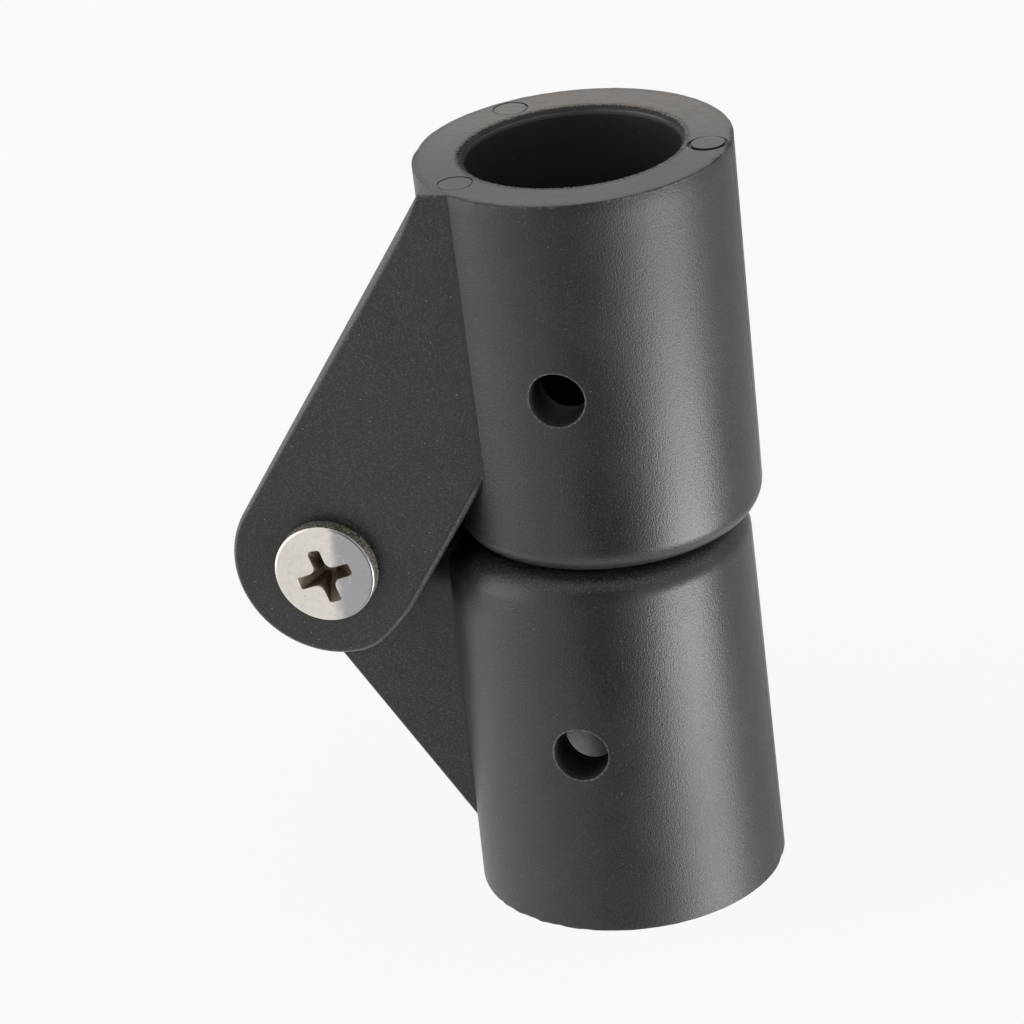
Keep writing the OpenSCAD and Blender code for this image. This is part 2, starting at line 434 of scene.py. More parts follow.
class Graph:
    """The nodes of one material or of the world."""

    def __init__(self, owner: bpy.types.Material | bpy.types.World) -> None:
        """Starts with no nodes.

        Args:
            owner: the material or the world.
        """
        owner.use_nodes = True
        self.owner = owner
        self.tree = owner.node_tree
        self.tree.nodes.clear()

    @classmethod
    def of_material(cls, name: str) -> "Graph":
        """The empty graph of a new material."""
        return cls(bpy.data.materials.new(name))

    def node(
        self,
        kind: str,
        settings: dict | None = None,
        sockets: dict | None = None,
        output: int | str = 0,
    ) -> Value:
        """Adds one node.

        Args:
            kind: the node's type.
            settings: the node's own properties, which are set first.
            sockets: a value, colour, vector or link for each input, by name or number.
            output: which output the result stands for.

        Returns:
            The chosen output.
        """
        made = self.tree.nodes.new(kind)
        for name, value in (settings or {}).items():
            setattr(made, name, value)
        for name, value in (sockets or {}).items():
            target = made.inputs[name]
            if isinstance(value, Value):
                self.tree.links.new(value.socket, target)
            elif isinstance(value, tuple) and len(value) == 3 and len(target.default_value) == 4:
                target.default_value = (*value, 1.0)
            else:
                target.default_value = value
        outputs = made.outputs
        return Value(self, outputs[output]) if len(outputs) else Value(self, None)

    def mix(self, share: Value, first: "Value | Colour", second: "Value | Colour") -> Value:
        """A colour between two others.

        Args:
            share: 0 gives the first colour and 1 the second.
            first: a colour or a link.
            second: a colour or a link.

        Returns:
            The mixed colour.
        """
        return self.node("ShaderNodeMix", {"data_type": "RGBA"}, {0: share, 6: first, 7: second}, 2)

    def place(self, stretch: Triple = (1.0, 1.0, 1.0)) -> Value:
        """The point on the piece in millimetres, stretched along each axis."""
        here = self.node("ShaderNodeTexCoord", output="Object")
        scale = tuple(s / MM for s in stretch)
        return self.node("ShaderNodeVectorMath", {"operation": "MULTIPLY"}, {0: here, 1: scale})

    def parts(self, vector: Value) -> tuple[Value, Value, Value]:
        """A vector's X, Y and Z."""
        split = self.node("ShaderNodeSeparateXYZ", sockets={0: vector})
        return tuple(Value(self, part) for part in split.socket.node.outputs)

    def axes(self) -> tuple[Value, Value, Value]:
        """The point's X, Y and Z in millimetres."""
        return self.parts(self.place())

    def noise(
        self, grain: float, detail: float = 2.0, rough: float = 0.5, where: Value | None = None
    ) -> Value:
        """Cloudy noise between 0 and 1.

        Args:
            grain: size of one cloud in millimetres.
            detail: how many finer layers it has.
            rough: how strong the finer layers are.
            where: the point to use, or None for the piece's own.

        Returns:
            The noise.
        """
        sockets = {
            "Vector": where or self.place(),
            "Scale": 1 / grain,
            "Detail": detail,
            "Roughness": rough,
        }
        return self.node("ShaderNodeTexNoise", None, sockets)

    def specks(self, spacing: float, size: float, share: float) -> Value:
        """Small round specks, 1 in the middle of each.

        Args:
            spacing: distance between the cells that hold them, in millimetres.
            size: radius of a speck as a share of the spacing.
            share: how many of the cells hold one.

        Returns:
            The mask.
        """
        sockets = {"Vector": self.place(), "Scale": 1 / spacing}
        cells = self.node("ShaderNodeTexVoronoi", None, sockets)
        core = 0.4 * size
        near = cells.until(core, size)
        pick = Value(self, cells.socket.node.outputs["Color"])
        red = self.node("ShaderNodeSeparateColor", sockets={0: pick})
        return near * (red > 1 - share)

    def sideways(self) -> Value:
        """How far the surface faces along the pivot: 1 on a web's flat face, 0 on a flank."""
        return self.parts(self.node("ShaderNodeNewGeometry", output="Normal"))[1].size()

    def surface(self, sockets: dict) -> bpy.types.Material:
        """Ends the material with one Principled shader that has these inputs."""
        shader = self.node("ShaderNodeBsdfPrincipled", None, sockets)
        self.node("ShaderNodeOutputMaterial", None, {"Surface": shader})
        return self.owner

    def bump(self, height: Value, depth: float, strength: float = 1.0) -> Value:
        """A normal bent by a height between 0 and 1.

        Args:
            height: the height.
            depth: what a height of 1 stands for, in millimetres.
            strength: how much of it shows.

        Returns:
            The normal.
        """
        sockets = {"Height": height, "Distance": depth * MM, "Strength": strength}
        return self.node("ShaderNodeBump", None, sockets)


@dataclass(frozen=True)
class Spot:
    """Where a point lies on one of the sockets, in millimetres.

    Attributes:
        x: its X.
        y: its Y.
        z: its Z.
        away: its X, counted from the socket's axis.
        radius: its distance from that axis.
        from_end: its distance from the closed end.
        from_mouth: its distance from the mouth.
        on_skin: 1 on the round outside of the socket, and 0 elsewhere.
        on_web: 1 further out than that, and 0 elsewhere.
    """

    x: Value
    y: Value
    z: Value
    away: Value
    radius: Value
    from_end: Value
    from_mouth: Value
    on_skin: Value
    on_web: Value


@dataclass(frozen=True)
class NylonTints:
    """Colours of what lies on the nylon, of where it is cut or worn, and of painted shade and
    light.
    """

    sand: Colour = (0.095, 0.09, 0.085)
    # Painted shade of the crease beside the web and of the cross hole's wall.
    painted_shade: Colour = (0.005, 0.0043, 0.0036)
    # Painted light in the bore near the mouth, and a painted highlight on the lead-in.
    bore: Colour = (0.034, 0.03, 0.026)
    lead_in: Colour = (0.1, 0.092, 0.084)
    torn: Colour = (0.012, 0.009, 0.007)
    # The mouth's face, with painted light towards the back.
    face_front: Colour = (0.066, 0.065, 0.0645)
    face_back: Colour = (0.21, 0.184, 0.161)
    streak_front: Colour = (0.05, 0.049, 0.048)
    lit_streak_back: Colour = (0.12, 0.105, 0.094)
    # Lighter edges: partly wear, partly painted highlight.
    worn: Colour = (0.13, 0.126, 0.12)
    nick: Colour = (0.008, 0.008, 0.008)
    burr: Colour = (0.3, 0.255, 0.21)
    hole_lip: Colour = (0.19, 0.186, 0.178)
    dust: Colour = (0.3, 0.29, 0.275)


@dataclass(frozen=True)
class MouldedNylon:
    """Black nylon from an eroded mould: fine grain, dust in the grain and smooth end bands.

    Attributes:
        name: the material's name.
        colour: the nylon's own colour.
        axis_x: where the socket's axis stands, in millimetres.
        closed_z: height of the closed end.
        mouth_z: height of the mouth.
        dusty: how much fine dust lies on the web.
        crease_shade: how much painted shade darkens the crease beside the web.
        crease: the middle of that painted shade, with Y as the distance from the middle plane.
        end_band: height of the smooth band next to the closed end.
        clouded: how much lighter the nylon's lightest clouds are.
        grain_deep: depth of the grain in millimetres.
        hole_shade: how far painted shade darkens the cross hole's wall.
        rough: the nylon's least roughness.
        tints: colours of what lies on it and of where it is cut or worn.
    """

    name: str
    colour: Colour
    axis_x: float
    closed_z: float
    mouth_z: float
    dusty: float = 0.3
    crease_shade: float = 0.0
    crease: Triple = (-14.0, 6.5, 36.3)
    end_band: float = 3.2
    clouded: float = 1.4
    grain_deep: float = 0.042
    hole_shade: float = 0.85
    rough: float = 0.33
    tints: NylonTints = NylonTints()

    def material(self) -> bpy.types.Material:
        """Builds the material."""
        graph = Graph.of_material(self.name)
        spot = self._spot(graph)
        cloud = graph.noise(5.5, 4.0, 0.6)
        grain = graph.noise(0.16, 1.5, 0.5)
        # Painted shade: the crease beside the web turns black and matt where the ears and the upper
        # socket shadow it.
        grime_and_shade = self._painted_crease_shade(spot)
        from_hole = self._from_hole(spot)
        drilled = from_hole.until(CROSS_R, CROSS_R + 0.03)
        # Painted shade: the cross hole's wall takes the painted-shade colour, as does the crease.
        painted_shade = drilled * self.hole_shade * (1 - grime_and_shade) + grime_and_shade
        in_bore = spot.radius.until(10.9, 11.1) * spot.from_end.between(3.6, 3.9)
        torn = in_bore * spot.from_mouth.until(0.3, 0.4)
        dust = self._dust(graph, spot, painted_shade)
        colour = self._moulded(graph, spot, cloud, grime_and_shade)
        colour = graph.mix(painted_shade, colour, self.tints.painted_shade)
        colour = self._bored(graph, spot, in_bore, torn, colour)
        colour = graph.mix(spot.from_mouth.until(0.03, 0.06), colour, self._cut_face(graph, spot))
        colour = self._worn_and_lit_edges(graph, spot, from_hole, colour)
        colour = graph.mix(dust, colour, self.tints.dust)
        rough = self.rough + 0.1 * spot.on_skin * spot.from_end.between(2.0, 30.0)
        rough = rough + (1 - spot.on_skin) * 0.04 + (cloud - 0.5) * 0.08 + (grain - 0.5) * 0.14
        rough = rough + dust * 0.2 + torn * 0.3 + drilled * 0.3 + grime_and_shade * 0.4
        height = self._height(graph, spot, grain)
        return graph.surface(
            {
                "Base Color": colour,
                "Metallic": grime_and_shade * 0.55,
                "Roughness": rough,
                "Specular IOR Level": 0.5,
                "Normal": graph.bump(height, self.grain_deep),
            }
        )

    def _spot(self, graph: Graph) -> Spot:
        """Where each point lies on the socket."""
        x, y, z = graph.axes()
        away = x - self.axis_x
        radius = (away * away + y * y) ** 0.5
        on_skin = radius.between(14.2, 14.5) * radius.until(15.05, 15.3)
        on_web = radius.between(15.1, 15.6)
        from_end, from_mouth = (z - self.closed_z).size(), (z - self.mouth_z).size()
        return Spot(x, y, z, away, radius, from_end, from_mouth, on_skin, on_web)

    def _height(self, graph: Graph, spot: Spot, grain: Value) -> Value:
        """The grain's height, fainter off the skin and in the smooth band at the closed end."""
        drawn = graph.noise(0.13, 1.0, 0.5, graph.place((1.0, 1.0, 0.5)))
        grained = spot.on_skin * spot.from_end.between(self.end_band - 2.4, self.end_band + 1.8)
        return (grain * 0.6 + drawn * 0.4) * (0.65 + 0.35 * grained)

    def _painted_crease_shade(self, spot: Spot) -> Value:
        """Where the painted shade lies in the crease, on both sides of the web."""
        x, y, z = spot.x - self.crease[0], spot.y.size() - self.crease[1], spot.z - self.crease[2]
        from_crease = (x * x + y * y + z * z) ** 0.5
        return from_crease.until(2.9, 5.6) * self.crease_shade

    @staticmethod
    def _from_hole(spot: Spot) -> Value:
        """Distance from the cross hole's axis."""
        rise = spot.from_mouth - CROSS_UP
        return (spot.away * spot.away + rise * rise) ** 0.5

    @staticmethod
    def _dust(graph: Graph, spot: Spot, painted_shade: Value) -> Value:
        """Single pale specks of dust, most of them on the web."""
        patches = graph.noise(5.0, 3.0).between(0.42, 0.6)
        return graph.specks(0.62, 0.13, 0.3) * patches * (0.5 + 0.5 * spot.on_web) * (1 - painted_shade)

    def _moulded(self, graph: Graph, spot: Spot, cloud: Value, grime_and_shade: Value) -> Value:
        """Colour of the plain nylon with its clouds and with fine sand in its grain."""
        lighter = tuple(c * self.clouded for c in self.colour)
        colour = graph.mix(cloud.between(0.3, 0.75), self.colour, lighter)
        share = 0.3 + self.dusty * (1 - spot.on_skin)
        sand = graph.noise(0.14, 2.0, 0.65).between(0.53, 0.66) * share * (1 - grime_and_shade)
        return graph.mix(sand, colour, self.tints.sand)

    def _bored(self, graph: Graph, spot: Spot, in_bore: Value, torn: Value, colour: Value) -> Value:
        """The bore's colour over another: painted light near the mouth and on the lead-in, torn
        dark at its edge.
        """
        # Painted light: the bore lightened near the mouth, and a painted highlight on the lead-in
        # band.
        lead_in = in_bore * spot.from_mouth.near(0.62, 0.14, 0.26)
        colour = graph.mix(in_bore * spot.from_mouth.until(20.0, 26.0), colour, self.tints.bore)
        colour = graph.mix(lead_in, colour, self.tints.lead_in)
        return graph.mix(torn, colour, self.tints.torn)

    def _cut_face(self, graph: Graph, spot: Spot) -> Value:
        """Colour of the paler, slightly streaked face of the mouth, with painted light towards the
        back.
        """
        # Painted light: the mouth's face turns lighter towards the back.
        tints, back = self.tints, spot.y.between(-8.0, 14.0)
        pale = graph.mix(back, tints.face_front, tints.face_back)
        shaded = graph.mix(back, tints.streak_front, tints.lit_streak_back)
        streaks = graph.noise(0.5, 4.0, 0.6, graph.place((0.3, 1.0, 1.0))) * 0.6
        return graph.mix((streaks + graph.noise(0.16, 2.0) * 0.4).between(0.35, 0.68), pale, shaded)

    def _worn_and_lit_edges(self, graph: Graph, spot: Spot, from_hole: Value, colour: Value) -> Value:
        """Worn edges over another colour: the web's, the rim's, the bore's and the hole's; the
        web's and the rim's are partly wear, partly painted highlight.
        """
        tints, radius, from_mouth = self.tints, spot.radius, spot.from_mouth
        sideways = graph.sideways()
        # The web's rounded edges: partly wear, partly painted highlight.
        edge = spot.on_web * sideways.between(0.2, 0.6) * sideways.until(0.9, 0.998)
        edge = edge * (0.15 + 0.85 * graph.noise(0.17, 3.0, 0.7).between(0.45, 0.6))
        colour = graph.mix(edge * 0.8, colour, tints.worn)
        # The mouth's outer rim: partly wear, partly painted highlight.
        rim = from_mouth.until(0.02, 0.45) * radius.between(14.75, 14.9)
        rim = rim * graph.noise(0.4, 3.0).between(0.5, 0.7)
        colour = graph.mix(rim * 0.55, colour, tints.worn)
        past_side = spot.away.size() - spot.y.size() * 0.1 - 13.6
        nick = radius.between(14.58, 14.66) * past_side.between(0.0, 0.2)
        nick = nick * graph.noise(1.1, 2.0).between(0.44, 0.5) * from_mouth.until(0.5, 0.7)
        colour = graph.mix(nick, colour, tints.nick)
        burr = radius.near(10.65, 0.25, 0.45) * from_mouth.until(0.07, 0.13)
        burr = burr * graph.noise(0.26, 3.0, 0.7).between(0.52, 0.6)
        colour = graph.mix(burr * 0.8, colour, tints.burr)
        lip = from_hole.near(CROSS_R + 0.09, 0.05, 0.11) * radius.between(14.0, 14.2)
        lip = lip * (0.2 + 0.8 * graph.noise(0.24, 3.0, 0.7).between(0.46, 0.58))
        return graph.mix(lip * 0.6, colour, tints.hole_lip)


@dataclass(frozen=True)
class SteelTints:
    """Colours of what lies on the steel, of where it is dull or scratched, and of its painted
    shade.
    """

    shaded_side: Colour = (0.3, 0.305, 0.325)
    scratch: Colour = (0.85, 0.84, 0.82)
    grime_and_shade: Colour = (0.06, 0.046, 0.026)
    pale_grime: Colour = (0.24, 0.19, 0.125)
    flank: Colour = (0.05, 0.044, 0.036)
    pale_flank: Colour = (0.36, 0.33, 0.28)
    speck: Colour = (0.16, 0.14, 0.11)


@dataclass(frozen=True)
class TurnedSteel:
    """Bright stainless steel with faint turning marks, mottling and dirt in its recess.

    Attributes:
        name: the material's name.
        colour: the clean metal's colour.
        axis: X and Z of the axis that it was turned about, in millimetres.
        recess_y: past this Y, and near the axis, the recess is dark.
        recess_r: radius within which the recess lies, or 0 for none.
        rough: the clean metal's roughness.
        shaded: how much darker the +X side is, as painted shade.
        flank_r: radius of the head's dulled side, or 0 for none.
        stained: how much darker the stains are than the clean metal.
        scratched_r: radius about which the scratches run.
        ringed: how close the turning marks lie, in radians for each millimetre.
        tints: colours of what lies on it and of where it is dull or scratched.
    """

    name: str
    colour: Colour
    axis: tuple[float, float]
    recess_y: float = 0.0
    recess_r: float = 0.0
    rough: float = 0.3
    shaded: float = 0.0
    flank_r: float = 0.0
    stained: float = 0.72
    scratched_r: float = 3.0
    ringed: float = 95.0
    tints: SteelTints = SteelTints()

    def material(self) -> bpy.types.Material:
        """Builds the material."""
        graph = Graph.of_material(self.name)
        x, y, z = graph.axes()
        across, up = x - self.axis[0], z - self.axis[1]
        radius = (across * across + up * up) ** 0.5
        mottle = graph.noise(0.55, 4.0, 0.65)
        stain = graph.noise(1.6, 3.0, 0.6).between(0.52, 0.75)
        colour = self._turned(graph, across, radius, mottle.between(0.42, 0.8) * 0.4 + stain * 0.2)
        rough = self.rough + (mottle - 0.5) * 0.18 + stain * 0.08
        metal: Value | float = 1.0
        if self.recess_r > 0:
            deep = radius.until(self.recess_r, self.recess_r + 0.1)
            deep = deep * (y - self.recess_y).between(0.0, 0.12)
            grime_and_shade = graph.mix(graph.noise(0.4, 3.0), self.tints.grime_and_shade, self.tints.pale_grime)
            colour = graph.mix(deep * 0.92, colour, grime_and_shade)
            rough = rough + deep * 0.25
        if self.flank_r > 0:
            flank = radius.between(self.flank_r - 0.07, self.flank_r - 0.02)
            colour = self._dulled(graph, flank, colour)
            metal = 1 - flank * 0.8
            rough = rough + flank * 0.2
        turning = {0: radius * self.ringed + graph.noise(1.2) * 6.0}
        rings = graph.node("ShaderNodeMath", {"operation": "SINE"}, turning)
        height = rings * 0.12 + mottle * 0.5 + graph.noise(0.07, 2.0) * 0.2
        return graph.surface(
            {
                "Base Color": colour,
                "Metallic": metal,
                "Roughness": rough,
                "Normal": graph.bump(height, 0.012, 0.6),
            }
        )

    def _turned(self, graph: Graph, across: Value, radius: Value, stain: Value) -> Value:
        """Colour of the bare metal: stained, with painted shade on its +X side, scratched round the
        axis.
        """
        darker = tuple(c * self.stained for c in self.colour)
        colour = graph.mix(stain, self.colour, darker)
        # Painted shade: the +X side turns darker and cooler.
        side = (across + graph.noise(2.2, 2.0) * 1.6).between(1.2, 2.6)
        colour = graph.mix(side * self.shaded, colour, self.tints.shaded_side)
        wander = graph.noise(0.7, 3.0) * 0.9
        scratch = (radius + wander).near(self.scratched_r, 0.015, 0.05)
        scratch = scratch * graph.noise(1.5, 2.0).between(0.48, 0.56)
        return graph.mix(scratch * 0.5, colour, self.tints.scratch)

    def _dulled(self, graph: Graph, flank: Value, colour: Value) -> Value:
        """The head's mottled side over another colour, and single dark specks all over."""
        patches = graph.noise(0.22, 3.0, 0.7).between(0.42, 0.6)
        mottled = graph.mix(patches, self.tints.flank, self.tints.pale_flank)
        colour = graph.mix(flank, colour, mottled)
        return graph.mix(graph.specks(1.5, 0.06, 0.3) * 0.8, colour, self.tints.speck)


@dataclass(frozen=True)
class PaleNylon:
    """The natural nylon of the locking ring, slightly clouded and scuffed by the thread."""

    name: str = "ring_nylon"
    colour: Colour = (0.72, 0.70, 0.62)

    def material(self) -> bpy.types.Material:
        """Builds the material."""
        graph = Graph.of_material(self.name)
        cloud = graph.noise(0.8, 4.0, 0.6)
        scuffs = graph.noise(0.12, 3.0, 0.6, graph.place((1.0, 0.25, 1.0)))
        shaded = tuple(c * 0.8 for c in self.colour)
        colour = graph.mix(cloud.between(0.4, 0.8), self.colour, shaded)
        rough = 0.42 + (cloud - 0.5) * 0.15 + scuffs * 0.08
        normal = graph.bump(scuffs, 0.01, 0.6)
        return graph.surface({"Base Color": colour, "Roughness": rough, "Normal": normal})


@dataclass(frozen=True)
class PaleFloor:
    """A pale sweep that reads as white and keeps the object's shadow."""

    name: str = "pale_floor"
    white_share: float = 0.9

    def material(self) -> bpy.types.Material:
        """Builds the material."""
        graph = Graph.of_material(self.name)
        seen = seen_directly(graph)
        paper = graph.mix(graph.noise(60.0, 3.0), (0.86, 0.86, 0.86), (0.9, 0.9, 0.9))
        lit = graph.node("ShaderNodeBsdfDiffuse", None, {"Color": paper, "Roughness": 0.6})
        white = graph.node("ShaderNodeEmission", None, {"Color": (1.0, 1.0, 1.0), "Strength": 1.0})
        share = seen * self.white_share
        mixed = graph.node("ShaderNodeMixShader", None, {0: share, 1: lit, 2: white})
        graph.node("ShaderNodeOutputMaterial", None, {"Surface": mixed})
        return graph.owner


def seen_directly(graph: Graph) -> Value:
    """1 for light that reaches the camera straight, off gloss or through glass."""
    path = graph.node("ShaderNodeLightPath", output="Is Camera Ray")
    rays = path.socket.node.outputs
    total = path + Value(graph, rays["Is Glossy Ray"]) + Value(graph, rays["Is Transmission Ray"])
    return total > 0.5


def cloth(name: str, first: Colour, second: Colour) -> bpy.types.Material:
    """The dull cloth of a card, clouded between two colours."""
    graph = Graph.of_material(name)
    weave = graph.mix(graph.noise(20.0), first, second)
    return graph.surface({"Base Color": weave, "Roughness": 0.9})


# Sub-assemblies


def touch(centre: Sequence[float], point: Sequence[float], radius: float, side: int) -> float:
    """Direction from a centre to where a line through a point touches its circle.

    Args:
        centre: the circle's centre.
        point: where the line starts.
        radius: the circle's radius.
        side: 1 or -1, which of the two lines.

    Returns:
        The direction in radians.
    """
    dx, dz = point[0] - centre[0], point[1] - centre[1]
    return atan2(dz, dx) + side * acos(radius / hypot(dx, dz))


def dress(
    body: bpy.types.Object, material: bpy.types.Material, carrier: str, node: str
) -> bpy.types.Object:
    """Finishes a piece and fixes it to the body that carries it.

    Args:
        body: the piece.
        material: what it is made of.
        carrier: the body that it moves with.
        node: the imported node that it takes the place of.

    Returns:
        The finished piece.
    """
    settle_shading(body)
    body.data.materials.clear()
    body.data.materials.append(material)
    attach(body, carrier)
    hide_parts(node)
    return body


@dataclass
class Moulding:
    """What both nylon mouldings share: a socket, closed at z = 0 with its mouth up, and a web.

    Attributes:
        name: the piece's name.
        node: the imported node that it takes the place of.
        body: the body that it moves with.
        reach: distance from the socket's axis to the pivot.
        inset: how far the web's corner lies inside the mouth's rim.
        facing_reach: the pivot's distance on the other moulding.
        facing_inset: how far the corner lies inside on the other moulding.
        finish: the nylon that it is made of.
        end_r: radius of the outside at the closed end, were it not rounded.
        end_round: radius of the rounding there.
        lead_in: how much wider the bore is at the mouth.
        cross_up: how far the cross hole's axis lies from the mouth.
        ear_r: radius of the web's round end.
        ear_y: distance of the ears' outer faces from the middle plane.
        slot_y: distance of their inner faces.
        shoulder_up: height at which the short flank meets the socket.
        closing_gap: distance between the two closed ends at rest.
        swing_gap: room round the other moulding's web.
        hole_lip: rounding of the cross hole's edge.
        mark_r: radius of the ejector pins' marks.
        mark_ring_r: their distance from the axis.
        inner_edge: rounding of the web's inner edges.
        split_y: both sides of the mould's split line.
        split_deep: its depth.
        points: how many points run round the socket.
    """

    name: str
    node: str
    body: str
    reach: float
    inset: float
    facing_reach: float
    facing_inset: float
    finish: MouldedNylon
    bore_r: float = 10.2
    mouth_r: float = 15.0
    end_r: float = 14.7
    height: float = 37.6
    end_wall: float = 4.0
    end_round: float = 2.7
    lead_in: float = 0.4
    cross_r: float = CROSS_R
    cross_up: float = CROSS_UP
    ear_r: float = 9.5
    ear_y: float = 12.1
    slot_y: float = 4.45
    shoulder_up: float = 8.75
    closing_gap: float = 0.3
    swing_gap: float = 0.4
    pivot_r: float = 2.55
    hole_lip: float = 0.1
    mark_r: float = 1.55
    mark_ring_r: float = 12.8
    inner_edge: float = 0.15
    split_y: tuple[float, float] = (0.74, 0.86)
    split_deep: float = 0.07
    points: int = 288

    def place(self, points: np.ndarray) -> np.ndarray:
        """Moves points from the socket's own frame to the row's."""
        raise NotImplementedError

    @property
    def mirrored(self) -> bool:
        """Whether the row's frame is a mirror image of the socket's own."""
        return False

    def put(self, stack: Stack, name: str) -> bpy.types.Object:
        """Makes a stack in the socket's own frame a solid in the row's."""
        return stack.placed(self.place, self.mirrored).solid(name)

    def skin_r(self, up: float) -> float:
        """Radius of the outside at a height above the closed end."""
        return self.end_r + (self.mouth_r - self.end_r) * up / self.height

    @property
    def pivot(self) -> tuple[float, float]:
        """X and Z of the pivot."""
        return (-self.reach, -self.closing_gap / 2)

    def blank(self) -> Stack:
        """The sleeve, not yet bored, with a slightly uneven rim at its mouth."""
        angles = turns(self.points)
        rim = 0.14 + 0.05 * waves(angles, 3, 9, 60) + 0.28 * hump(angles, 181, 16)
        rubbed = ((0.22, 245, 60, (5, 18, 70)), (0.4, 1, 12, (7, 30, 90)))
        for deep, middle, half_width, line in rubbed:
            rim = rim + deep * hump(angles, middle, half_width) * (1 + waves(angles, *line))
        inner = self.end_r - self.end_round
        profile = rounding(inner, self.end_round, self.end_round, -90, 0, 10)
        for up in (8.0, 14.0, 23.0, 30.0, 36.0):
            profile.append((self.skin_r(up), up, True))
        for a in np.linspace(0, pi / 2, 5):
            radius, up = self.mouth_r - rim * (1 - cos(a)), self.height - rim * (1 - sin(a))
            profile.append((radius, up, True))
        return turned(profile, self.points)

    def bore(self) -> Stack:
        """The tube's bore with its lead-in, and the burr left round its edge."""
        count = 2 * self.points
        angles = turns(count)
        ragged = 0.45 + 1.0 * hump(angles, 35, 75)
        ragged = ragged + 2.0 * hump(angles, 195, 50) + 0.7 * hump(angles, 290, 80)

        def burr(seed: int, size: float) -> np.ndarray:
            """How far the torn edge stands out, at each angle."""
            line = waves(angles, seed, 40, 170) + 0.7 * waves(angles, seed + 1, 110, 280)
            return size * ragged * np.clip(line, -1.1, 0.9)

        radius, lead_in, height = self.bore_r, self.lead_in, self.height
        top = radius + lead_in + 0.25 * hump(angles, 190, 70)
        torn = top + burr(41, 0.15)
        profile = [
            (radius, self.end_wall, False),
            (radius, height - 2.0, True),
            (radius, height - lead_in - 0.25, True),
            (radius + 0.03 + burr(11, 0.035), height - lead_in, True),
            (radius + 0.4 * lead_in + burr(21, 0.08), height - 0.55 * lead_in, True),
            (top - 0.08 + burr(31, 0.13), height - 0.1, True),
            (torn, height, False),
            (torn + 1, height + 1, False),
        ]
        return turned(profile, count)

    def cross_hole(self) -> Stack:
        """The cross hole through both walls, with a small lip that follows the skin."""
        made = Stack()
        angles = turns(64) + 0.03
        up = self.height - self.cross_up

        def ring(radius: float, sink: float, side: int) -> np.ndarray:
            """A loop about the hole's axis, some way under the skin of one side."""
            across, rise = radius * np.cos(angles), up + radius * np.sin(angles)
            skin = np.sqrt(self.skin_r(rise) ** 2 - across**2)
            return np.stack([across, side * (skin - sink), rise], 1)

        lip, past = self.hole_lip, 0.5
        made.add(ring(self.cross_r + lip + past, -past, 1))
        quarter = np.linspace(0, pi / 2, 4)
        for side, steps in ((1, quarter), (-1, quarter[::-1])):
            for a in steps:
                radius, sink = self.cross_r + lip * (1 - sin(a)), lip * (1 - cos(a))
                made.add(ring(radius, sink, side), a > 0)
        made.add(ring(self.cross_r + lip + past, -past, -1))
        return made

    def web_outline(self, reach: float, inset: float, grow: float = 0.0) -> np.ndarray:
        """Side view of a web: a round end about the pivot and two flanks that touch it.

        Args:
            reach: distance from the socket's axis to the pivot.
            inset: how far the web's corner lies inside the mouth's rim.
            grow: how much wider the outline is drawn.

        Returns:
            Points in X and Z, counter-clockwise as seen from the front.
        """
        centre = (-reach, -self.closing_gap / 2)
        corner = (-(self.mouth_r - inset), self.height)
        shoulder_r = self.skin_r(self.shoulder_up)
        shoulder = (-sqrt(shoulder_r**2 - self.ear_y**2), self.shoulder_up)
        out = touch(centre, corner, self.ear_r, 1)
        under = touch(centre, shoulder, self.ear_r, -1) + 2 * pi
        round_end = circle(np.linspace(out, under, 73), self.ear_r + grow, centre)
        drop = 0.004
        top = np.array(corner) + grow * np.array([cos(out), sin(out)]) - [0, drop]
        low = np.array(shoulder) + grow * np.array([cos(under), sin(under)])
        flank = np.linspace(top, round_end[0], 9)[:-1]
        ends = [[0.0, self.height - drop], *flank, *round_end, low, [0.0, self.shoulder_up]]
        return np.array(ends)

    def facing_outline(self, grow: float, fold: float = 0.0) -> np.ndarray:
        """The other moulding's web in this one's frame, with room round it, at one fold."""
        outline = self.web_outline(self.facing_reach, self.facing_inset, grow)[::-1].copy()
        outline[:, 0] += self.facing_reach - self.reach
        outline[:, 1] = -self.closing_gap - outline[:, 1]
        return swung(outline - self.pivot, -fold) + self.pivot

    def pivot_hole(self) -> Stack:
        """The round hole for the screw through the whole web."""
        return slab(circle(turns(64), self.pivot_r, self.pivot), -self.mouth_r, self.mouth_r)

    def split_line(self) -> Stack:
        """The fine groove where the mould's halves met, down the side away from the hinge."""
        (y0, y1), flare = self.split_y, 0.1
        made = Stack()
        for up in (self.end_round * 0.6, self.height + 0.5):
            skin = self.skin_r(up)
            floor, past = skin - self.split_deep, skin + 1
            corners = [(floor, y0), (past, y0 - flare), (past, y1 + flare), (floor, y1)]
            made.add(at_level(np.array(corners), up))
        return made

